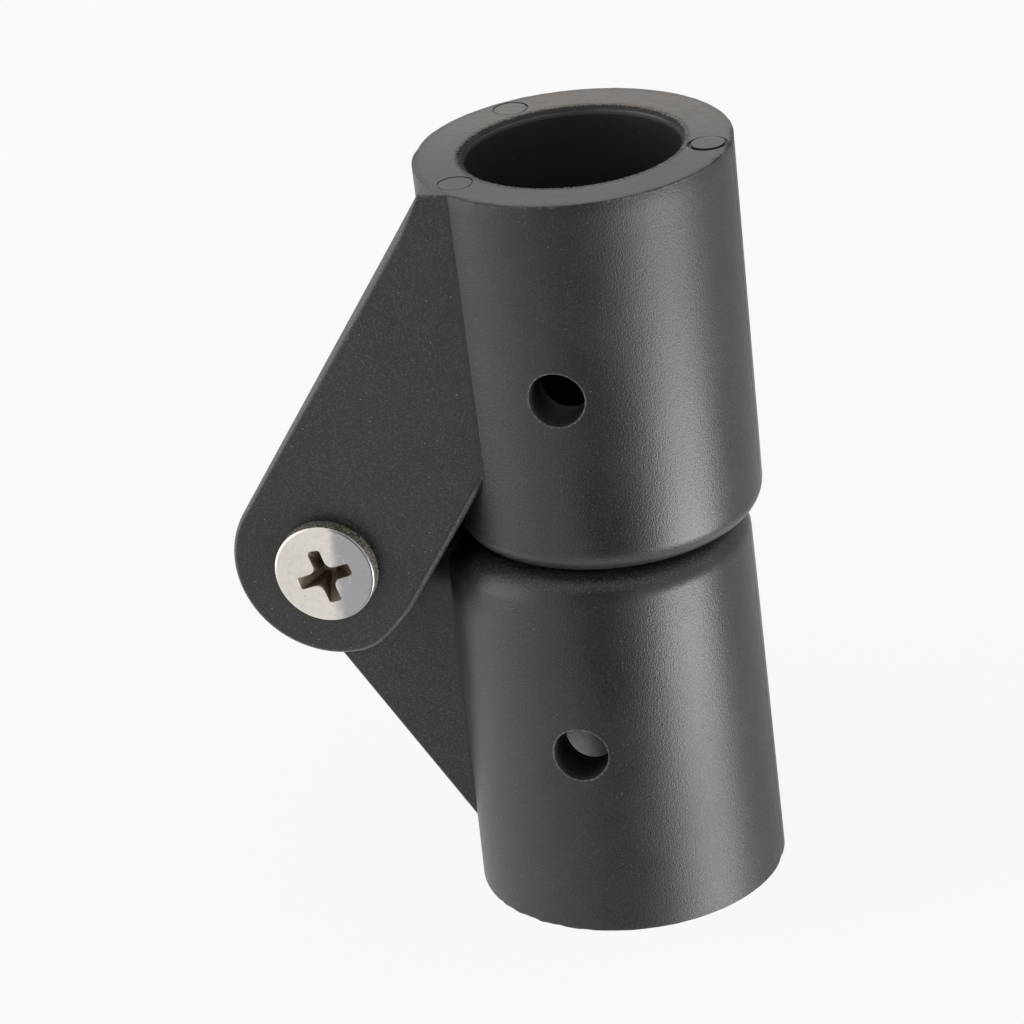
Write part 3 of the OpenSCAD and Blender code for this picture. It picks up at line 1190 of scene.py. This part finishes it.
    def add_marks(self, body: bpy.types.Object) -> None:
        """Presses the rings of the three ejector pins into the mouth's face."""
        angles = turns(72)
        least_wide, least_deep = 0.07, 0.05
        marks = ((131, 0.16, 0.26, -1), (226, 0.13, 0.22, -1), (2, 0.5, 0.55, 1))
        for turn, deep, wide, lean in marks:
            where = self.mark_ring_r * cos(radians(turn)), self.mark_ring_r * sin(radians(turn))
            front = 0.5 - 0.5 * lean * np.sin(angles)
            outer = self.mark_r + least_wide + (wide - least_wide) * front
            floor = self.height - least_deep - (deep - least_deep) * front**2
            moat, island = Stack(), Stack()
            for level in (floor, self.height + 0.3):
                moat.add(at_level(circle(angles, outer, where), level))
            for level in (self.height - 1, self.height + 1):
                island.add(at_level(circle(angles, self.mark_r, where), level))
            tool = self.put(moat, "moat")
            shape(tool, self.put(island, "island"), Cut.TAKE)
            shape(body, tool, Cut.TAKE)

    def webbed(self) -> bpy.types.Object:
        """The blank with its web, before anything is drilled."""
        raise NotImplementedError

    def build(self) -> bpy.types.Object:
        """Builds the moulding and dresses it.

        Returns:
            The finished piece.
        """
        body = self.webbed()
        for tool in (self.bore(), self.cross_hole(), self.pivot_hole(), self.split_line()):
            shape(body, self.put(tool, "tool"), Cut.TAKE)
        self.add_marks(body)
        return dress(body, self.finish.material(), self.body, self.node)


@dataclass
class ForkMoulding(Moulding):
    """The upper socket, whose web is a fork of two thick ears.

    Attributes:
        axis_x: where its axis stands.
        base_z: where its closed end stands.
        nut_af: width of the nut's pocket across the flats.
        nut_seat_y: floor of that pocket.
        fold_max: the furthest fold, in degrees.
        far_back: how far the far ear's corner is cut back at the top.
        far_down: how far down its flank that cut runs.
    """

    axis_x: float = 1.5
    base_z: float = 37.9
    nut_af: float = 8.2
    nut_seat_y: float = 6.6
    fold_max: float = 180.0
    far_back: float = 3.0
    far_down: float = 16.0

    def place(self, points: np.ndarray) -> np.ndarray:
        """Stands the socket on its closed end above the other one."""
        return points + [self.axis_x, 0, self.base_z]

    def _edge(self, outline: np.ndarray) -> np.ndarray:
        """Rounding of the ears' outer edges: generous on the long flank, small elsewhere."""
        least, most, lowest, highest = 0.46, 0.86, 4, 26
        lift = np.clip((outline[:, 1] - lowest) / (highest - lowest), 0, 1)
        long_flank = least + (most - least) * lift
        short_flank = np.interp(self.turn_at(outline), (-90, -50, -25), (least, 0.62, 0.75))
        on_short = np.arange(len(outline)) > len(outline) // 2
        radii = np.where(on_short, short_flank, long_flank)
        radii[0] = radii[-1] = self.inner_edge
        radii[1] = 0.2
        return radii

    def turn_at(self, outline: np.ndarray) -> np.ndarray:
        """Each point's direction from the pivot, in degrees."""
        from_pivot = outline - self.pivot
        return np.degrees(np.arctan2(from_pivot[:, 1], from_pivot[:, 0]))

    def near_outline(self, outline: np.ndarray) -> np.ndarray:
        """The web's outline, slightly flatter where its round end meets the short flank."""
        turn = (-75, -65, -59, -52, -44, -34, -24)
        lost = np.interp(self.turn_at(outline), turn, (0, 0.15, 0.33, 0.5, 0.62, 0.52, 0.35))
        lost[: len(outline) // 2] = lost[-1] = 0
        lost[-2] = 0.2
        return outline - unit_rows(outline - self.pivot) * lost[:, None]

    def far_outline(self, outline: np.ndarray) -> np.ndarray:
        """The web's outline with its top corner cut back so that the mouth's rim hides it."""
        corner = outline[1]
        flank = outline[9] - corner
        on_flank = corner + self.far_down * flank / np.hypot(*flank)
        cut = np.linspace(corner + [self.far_back, 0], on_flank, 6)
        rest = [p for p in outline[2:] if np.hypot(*(p - corner)) > self.far_down + 0.5]
        return np.array([outline[0], *cut, *rest])

    def hex_pocket(self) -> Stack:
        """The pocket for the nut in the far ear, with rounded corners and a small lip."""
        made = Stack()
        lip, past = 0.15, 1.5
        levels = [(lip + past, self.ear_y + past), (lip, self.ear_y)]
        levels += [(0.0, self.ear_y - lip), (0.0, self.nut_seat_y)]
        for wider, y in levels:
            made.add(in_plane(hexagon(self.nut_af / 2 + wider, 0.25) + self.pivot, y))
        return made

    def webbed(self) -> bpy.types.Object:
        """The blank with two ears and the bridge between them above the slot."""
        body = self.put(self.blank(), self.name)
        slot, ear = self.slot_y, self.ear_y
        outline = self.web_outline(self.reach, self.inset)
        near_side, far_side = self.near_outline(outline), self.far_outline(outline)
        bridge = self.put(slab(near_side, -slot - 0.2, slot + 0.2), "bridge")
        for fold in (0.0, self.fold_max):
            room = slab(self.facing_outline(self.swing_gap, fold), -slot - 1, slot + 1)
            shape(bridge, self.put(room, "room"), Cut.TAKE)
        inner = np.full(len(outline), self.inner_edge)
        near = self.put(slab(near_side, -ear, -slot, self._edge(outline), inner), "near_ear")
        inner = np.full(len(far_side), self.inner_edge)
        far = self.put(slab(far_side, slot, ear, inner, self._edge(far_side)), "far_ear")
        for part in (near, far, bridge):
            shape(body, part, Cut.ADD)
        shape(body, self.put(self.hex_pocket(), "pocket"), Cut.TAKE)
        return body


@dataclass
class TongueMoulding(Moulding):
    """The lower socket, whose web is a single tongue.

    Attributes:
        tongue_y: half the tongue's thickness.
        tongue_edge: rounding of its edges.
    """

    tongue_y: float = 4.3
    tongue_edge: float = 0.32

    def place(self, points: np.ndarray) -> np.ndarray:
        """Hangs the socket by its closed end with its mouth down."""
        return points * [1, 1, -1] + [0, 0, self.height]

    @property
    def mirrored(self) -> bool:
        """The socket hangs upside down as a mirror image."""
        return True

    def webbed(self) -> bpy.types.Object:
        """The blank with its tongue, relieved where the ears swing past."""
        body = self.put(self.blank(), self.name)
        outline = self.web_outline(self.reach, self.inset)
        edge = np.full(len(outline), self.tongue_edge)
        edge[0] = edge[1] = edge[-1] = self.inner_edge
        tongue = slab(outline, -self.tongue_y, self.tongue_y, edge, edge)
        shape(body, self.put(tongue, "tongue"), Cut.ADD)
        room = self.facing_outline(self.swing_gap)
        y0, y1 = self.tongue_y + 0.01, self.ear_y + self.swing_gap
        for low, high in ((-y1, -y0), (y0, y1)):
            shape(body, self.put(slab(room, low, high), "relief"), Cut.TAKE)
        return body


def hexagon(inner_r: float, corner: float) -> np.ndarray:
    """A hexagon with rounded corners, one of which points along X.

    Args:
        inner_r: half the width across the flats.
        corner: radius of the corners.

    Returns:
        Points, counter-clockwise.
    """
    spread = np.linspace(radians(-30), radians(30), 5)
    reach = (inner_r - corner) / cos(pi / 6)
    middles = [turn * pi / 3 for turn in range(6)]
    rounds = [circle(a + spread, corner, (reach * cos(a), reach * sin(a))) for a in middles]
    return np.concatenate(rounds)


@dataclass
class PivotPiece:
    """A piece that stands on the pivot's axis.

    Attributes:
        name: the piece's name.
        node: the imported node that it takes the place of.
        start_y: where the piece's own z = 0 lies.
        x: the axis's X.
        z: the axis's Z.
        count: how many points run round the piece.
    """

    name: str
    node: str
    start_y: float
    x: float = -23.5
    z: float = 37.75
    count: int = 96

    def place(self, points: np.ndarray) -> np.ndarray:
        """Lays the piece's own Z along the pivot."""
        x, y, z = points.T
        return np.stack([self.x + x, self.start_y + z, self.z - y], 1)

    def put(self, stack: Stack, name: str) -> bpy.types.Object:
        """Makes a stack in the piece's own frame a solid in the row's."""
        return stack.placed(self.place).solid(name)

    def dressed(
        self, body: bpy.types.Object, material: bpy.types.Material, slot: str
    ) -> bpy.types.Object:
        """Dresses a piece and fixes it to the fork, which carries the pivot."""
        return dress(body, material, "fork", self.node)


@dataclass
class PivotScrew(PivotPiece):
    """The pivot screw: a low flat head with a cross recess, a shank and a threaded end.

    Attributes:
        rim: rounding of the head's front edge.
        length: from the head's front to the free end.
        point: height of the free end's chamfer.
        pitch: distance between the thread's turns.
        thread_h: depth of the thread.
        thread_from: where the thread begins.
        drive_r: distance from the axis to the tip of one of the recess's arms.
        drive_half: half the width of an arm.
        drive_deep: depth of the recess.
        drive_turn: how far the recess is turned, in degrees.
        drive_low: how far it lies below the axis.
        drive_worn: unevenness of its outline, as a share of its size.
        head_low: how far the head lies below the axis.
    """

    head_r: float = 4.95
    head_h: float = 1.6
    rim: float = 0.28
    shank_r: float = 2.5
    length: float = 26.6
    point: float = 0.5
    pitch: float = 0.8
    thread_h: float = 0.36
    thread_from: float = 23.0
    drive_r: float = 2.78
    drive_half: float = 0.64
    drive_deep: float = 2.4
    drive_turn: float = 18.0
    drive_low: float = 0.45
    drive_worn: float = 0.03
    head_low: float = 0.22

    def body_stack(self) -> Stack:
        """Head, shank, thread and point as one turned solid."""
        angles = turns(self.count)
        soft = 0.12
        profile = rounding(self.head_r - self.rim, self.rim, self.rim, -90, 0, 5)
        profile += rounding(self.head_r - soft, self.head_h - soft, soft, 0, 90, 3)
        profile.append((self.shank_r + soft, self.head_h, False))
        profile += [(self.shank_r, up, False) for up in (self.head_h + soft, self.thread_from)]
        step = self.pitch / 10
        end = self.length - self.point
        steep, crest = 2.6, 0.15
        for up in np.arange(self.thread_from + step, self.length - step / 2, step):
            turn = (up / self.pitch - angles / (2 * pi)) % 1.0
            ridge = np.clip(np.abs(turn - 0.5) * steep - crest, 0, 1)
            grow = np.clip((up - self.thread_from) / self.pitch, 0, 1)
            core = self.shank_r - self.thread_h * (1 - ridge) * grow
            cone = self.shank_r - max(0.0, up - end)
            profile.append((np.minimum(core, cone), up, True))
        profile.append((self.shank_r - self.point - 0.05, self.length, False))
        made = turned(profile, self.count)
        for loop in made.loops:
            if loop[0, 2] <= self.head_h and np.hypot(*loop[0, :2]) > self.shank_r + 0.5:
                loop[:, 1] += self.head_low
        return made

    def recess(self) -> Stack:
        """The cross recess: four tapering wings with flared inner corners."""
        made = Stack()
        levels = (
            (-0.4, 1.10, 1.12, 0.95),
            (0.0, 1.0, 1.0, 0.75),
            (0.25, 0.94, 0.92, 0.62),
            (0.9, 0.74, 0.84, 0.42),
            (1.7, 0.52, 0.74, 0.25),
            (self.drive_deep, 0.28, 0.5, 0.1),
        )
        for up, reach, wide, flare in levels:
            outline = cross_outline(self.drive_r * reach, self.drive_half * wide, flare)
            worn = 1 + self.drive_worn * waves(turns(len(outline)), 9, 4, 20)
            outline = swung(outline * worn[:, None], -self.drive_turn) + [0, self.drive_low]
            made.add(at_level(outline, up))
        return made

    def build(self) -> bpy.types.Object:
        """Builds the screw and dresses it."""
        body = self.put(self.body_stack(), self.name)
        shape(body, self.put(self.recess(), "recess"), Cut.TAKE)
        steel = TurnedSteel(
            "screw_steel",
            (0.72, 0.685, 0.63),
            (self.x, self.z - self.head_low),
            recess_y=self.start_y,
            recess_r=3.6,
            shaded=0.85,
            flank_r=self.head_r,
        )
        return self.dressed(body, steel.material(), "screw_steel")


def cross_outline(reach: float, half: float, flare: float) -> np.ndarray:
    """Outline of a cross recess at one depth.

    Args:
        reach: distance from the axis to an arm's tip.
        half: half the width of an arm.
        flare: radius of the inner corners between the arms.

    Returns:
        Points, counter-clockwise.
    """
    tip, inner = half * 0.5, half + flare
    arm = []
    for a in np.linspace(-pi / 2, pi / 2, 8):
        arm.append((reach - tip + tip * cos(a), (half - tip) * np.sign(a) + tip * sin(a)))
    for a in np.linspace(0, pi / 2, 7):
        arm.append((inner - flare * sin(a), inner - flare * cos(a)))
    points = []
    for turn in (0.0, pi / 2, pi, 3 * pi / 2):
        c, s = cos(turn), sin(turn)
        points += [(x * c - y * s, x * s + y * c) for x, y in arm]
    return np.array(points)


@dataclass
class LockNut(PivotPiece):
    """The lock nut in the far ear: a chamfered hexagon and a round collar.

    Attributes:
        half_af: half the width across the flats.
        height: height of the nut with its collar.
        collar_h: height of the collar.
        collar_r: its radius.
        thread_r: radius of the bore.
        ring_h: height of the ring's seat.
        ring_r: its radius.
        corner: rounding of the hexagon's corners.
        chamfer: height of its chamfers as a share of what the corners stand out.
    """

    half_af: float = 4.0
    height: float = 5.0
    collar_h: float = 1.4
    collar_r: float = 3.7
    thread_r: float = 2.52
    ring_h: float = 1.3
    ring_r: float = 3.24
    corner: float = 0.12
    chamfer: float = 0.8

    def build(self) -> bpy.types.Object:
        """Builds the nut and dresses it."""
        hex_h = self.height - self.collar_h
        corner_r = self.half_af / cos(pi / 6)
        rise = (corner_r - self.half_af) * self.chamfer
        hexed = Stack()
        for up in (0.0, hex_h):
            hexed.add(at_level(hexagon(self.half_af, self.corner), up))
        body = self.put(hexed, self.name)
        face_r, widest = self.half_af * 0.96, corner_r + 0.02
        round_off = [
            (face_r, -0.01, False),
            (widest, rise, False),
            (widest, hex_h - rise, False),
            (face_r, hex_h + 0.01, False),
        ]
        shape(body, self.put(turned(round_off, self.count), "chamfer"), Cut.KEEP)
        soft = 0.3
        collar = [(self.collar_r, 0.2, False), (self.collar_r, self.height - soft - 0.05, True)]
        collar += rounding(self.collar_r - soft, self.height - soft, soft, 0, 90, 5)
        shape(body, self.put(turned(collar, self.count), "collar"), Cut.ADD)
        seat = self.height - self.ring_h
        bore = [
            (self.thread_r + 1.5, -1.0, False),
            (self.thread_r, 0.5, False),
            (self.thread_r, seat, False),
            (self.ring_r, seat + 0.001, False),
            (self.ring_r, self.height + 1, False),
        ]
        shape(body, self.put(turned(bore, self.count), "bore"), Cut.TAKE)
        steel = TurnedSteel("nut_steel", (0.62, 0.61, 0.59), (self.x, self.z), rough=0.36)
        return self.dressed(body, steel.material(), "nut_steel")


@dataclass
class LockRing(PivotPiece):
    """The nylon ring that grips the thread, set in the nut's collar."""

    outer_r: float = 3.22
    inner_r: float = 2.52
    height: float = 1.3

    def build(self) -> bpy.types.Object:
        """Builds the ring and dresses it."""
        soft = 0.15
        outside = [(self.outer_r, 0.0, False)]
        outside += rounding(self.outer_r - soft, self.height - soft, soft, 0, 90, 4)
        body = self.put(turned(outside, self.count), self.name)
        inside = [
            (self.inner_r, -1.0, False),
            (self.inner_r, self.height - 0.3, False),
            (self.inner_r + 0.2, self.height, False),
            (self.inner_r + 1.0, self.height + 0.8, False),
        ]
        shape(body, self.put(turned(inside, self.count), "eye"), Cut.TAKE)
        return self.dressed(body, PaleNylon().material(), "ring_nylon")


# Studio


def staged(
    name: str,
    points: Sequence[Triple],
    faces: Sequence[Sequence[int]],
    material: bpy.types.Material,
    unseen_by: Sequence[str],
) -> None:
    """Adds a sheet that belongs to the studio.

    Args:
        name: its name.
        points: its corners in metres.
        faces: the corners' numbers, face by face.
        material: what it is made of.
        unseen_by: the kinds of light that pass it by.
    """
    mesh = bpy.data.meshes.new(name)
    mesh.from_pydata(points, [], faces)
    mesh.materials.append(material)
    made = linked(name, mesh)
    for light in unseen_by:
        setattr(made, f"visible_{light}", False)


@dataclass(frozen=True)
class SoftLamp:
    """A large soft lamp that looks at the object.

    Attributes:
        azimuth: 0 stands in front, 90 at the right, in degrees.
        elevation: height above the horizon, in degrees.
        radiance: brightness of its face.
        width: its width in metres.
        height: its height in metres.
    """

    name: str
    azimuth: float
    elevation: float
    radiance: float
    width: float
    height: float
    colour: Colour
    distance: float = 0.7

    def add(self, target: Vector) -> None:
        """Adds the lamp to the scene."""
        data = bpy.data.lights.new(self.name, "AREA")
        data.shape = "RECTANGLE"
        data.size, data.size_y = self.width, self.height
        data.energy = self.radiance * pi * self.width * self.height
        data.color = self.colour
        lamp = linked(self.name, data)
        way = direction(self.azimuth, self.elevation)
        lamp.location = target + way * self.distance
        lamp.rotation_mode = "QUATERNION"
        lamp.rotation_quaternion = way.to_track_quat("Z", "Y")


def direction(azimuth: float, elevation: float) -> Vector:
    """Unit vector from the object to a place round it, with 0 in front and 90 at the right."""
    a, e = radians(azimuth), radians(elevation)
    return Vector((sin(a) * cos(e), -cos(a) * cos(e), sin(e)))


@dataclass(frozen=True)
class Card:
    """A curved card round the object that only glossy reflections see.

    Attributes:
        start: azimuth of its one side, in degrees.
        end: azimuth of its other side.
        colour: its cloth.
        reach: distance from the object in metres.
        tall: half its height in metres.
    """

    name: str
    start: float
    end: float
    colour: Colour
    reach: float = 0.6
    tall: float = 0.6

    def add(self) -> None:
        """Adds the card to the scene."""
        points, columns = [], 9
        for azimuth in np.linspace(self.start, self.end, columns):
            flat = direction(float(azimuth), 0.0) * self.reach
            points += [(flat.x, flat.y, -self.tall), (flat.x, flat.y, self.tall)]
        faces = [(i, i + 2, i + 3, i + 1) for i in range(0, len(points) - 2, 2)]
        lighter = tuple(c * 1.1 for c in self.colour)
        unseen_by = ("camera", "diffuse", "shadow", "transmission")
        staged(self.name, points, faces, cloth(self.name, self.colour, lighter), unseen_by)


@dataclass
class Studio:
    """A pale floor, soft lamps, a white surround and the camera."""

    target: Vector = field(default_factory=lambda: Vector((-0.0084456, 0.0, 0.0376814)))
    azimuth: float = 16.983
    elevation: float = 24.9612
    roll: float = -6.7321
    distance: float = 0.4584831
    lens: float = 166.9884
    sensor: float = 36.0
    ambient: float = 0.5

    def camera(self) -> None:
        """Adds the camera at the photograph's angle."""
        back = direction(self.azimuth, self.elevation)
        right = Vector((cos(radians(self.azimuth)), sin(radians(self.azimuth)), 0.0))
        up = back.cross(right)
        c, s = cos(radians(self.roll)), sin(radians(self.roll))
        across, upward = right * c + up * s, up * c - right * s
        data = bpy.data.cameras.new("camera")
        data.sensor_fit = "HORIZONTAL"
        data.sensor_width, data.lens = self.sensor, self.lens
        data.clip_start, data.clip_end = 0.01, 20.0
        made = linked("camera", data)
        turn = Matrix((across, upward, back)).transposed().to_4x4()
        made.matrix_world = Matrix.Translation(self.target + back * self.distance) @ turn
        bpy.context.scene.camera = made

    def surround(self) -> None:
        """Makes the world white where it is seen, and an even soft light elsewhere."""
        world = bpy.data.worlds.new("surround")
        bpy.context.scene.world = world
        graph = Graph(world)
        seen = seen_directly(graph)
        white, soft = (
            graph.node("ShaderNodeBackground", None, {0: (1.0, 1.0, 1.0), 1: strength})
            for strength in (1.0, self.ambient)
        )
        mixed = graph.node("ShaderNodeMixShader", None, {0: seen, 1: soft, 2: white})
        graph.node("ShaderNodeOutputWorld", None, {"Surface": mixed})

    def floor(self) -> None:
        """Adds the floor just under the lower mouth."""
        half, low = 3.0, -0.00005
        corners = [(-half, -half, low), (half, -half, low), (half, half, low), (-half, half, low)]
        staged("floor", corners, [(0, 1, 2, 3)], PaleFloor().material(), ("glossy", "shadow"))

    def flag(self) -> None:
        """Adds a small unseen disc that keeps the low lamp's light out of the lower bore."""
        radius, low, count = 0.0104, -0.00003, 32
        ring = [(radius * cos(a), radius * sin(a), low) for a in turns(count)]
        grey = cloth("flag", (0.3, 0.3, 0.3), (0.35, 0.35, 0.35))
        unseen_by = ("camera", "glossy", "diffuse", "transmission")
        staged("flag", ring, [tuple(range(count))], grey, unseen_by)

    def build(self) -> None:
        """Adds everything that isn't the object."""
        self.camera()
        self.surround()
        self.floor()
        self.flag()
        Card("dark_card", -8, 33, (0.05, 0.05, 0.05)).add()
        Card("grey_card", 112, 176, (0.6, 0.6, 0.6), 0.7).add()
        right = SoftLamp("right_lamp", 76.0, -30.0, 8.4, 0.46, 0.42, (0.98, 0.98, 1.0))
        left = SoftLamp("left_lamp", -72.0, 6.0, 1.6, 0.8, 0.7, (1.0, 0.98, 0.955))
        for lamp in (right, left):
            lamp.add(self.target)
        bpy.context.scene.view_settings.view_transform = "Standard"


def open_edges(mesh: bpy.types.Mesh) -> int:
    """How many of a mesh's edges aren't shared by exactly two faces."""
    edges = np.zeros(len(mesh.loops), np.int32)
    mesh.loops.foreach_get("edge_index", edges)
    return int((np.bincount(edges) != 2).sum())


def main() -> None:
    """Builds the joint's pieces and the studio, and reports each piece."""
    logging.basicConfig(level=logging.INFO, format="%(message)s")
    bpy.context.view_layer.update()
    black = (0.0138, 0.0118, 0.0122)
    lower, upper = (23.5, 4.8), (25.0, 3.2)
    # The tongue's nylon also carries painted shade in the crease beside the web.
    dusty = MouldedNylon("tongue_nylon", black, 0.0, 37.6, 0.0, dusty=0.65, crease_shade=1.0)
    clean = MouldedNylon("fork_nylon", black, 1.5, 37.9, 75.5)
    parts = [
        TongueMoulding("tongue_moulding", "tongue_socket", "tongue", *lower, *upper, dusty),
        ForkMoulding("fork_moulding", "fork_socket", "fork", *upper, *lower, clean),
        PivotScrew("screw_turned", "pivot_screw", -13.7),
        LockNut("nut_turned", "lock_nut", 6.6),
        LockRing("ring_turned", "lock_ring", 10.3),
    ]
    for part in parts:
        piece = part.build()
        faces, edges = len(piece.data.polygons), open_edges(piece.data)
        LOG.info("%s: %d faces, %d open edges", piece.name, faces, edges)
    Studio().build()


if __name__ == "__main__":
    main()
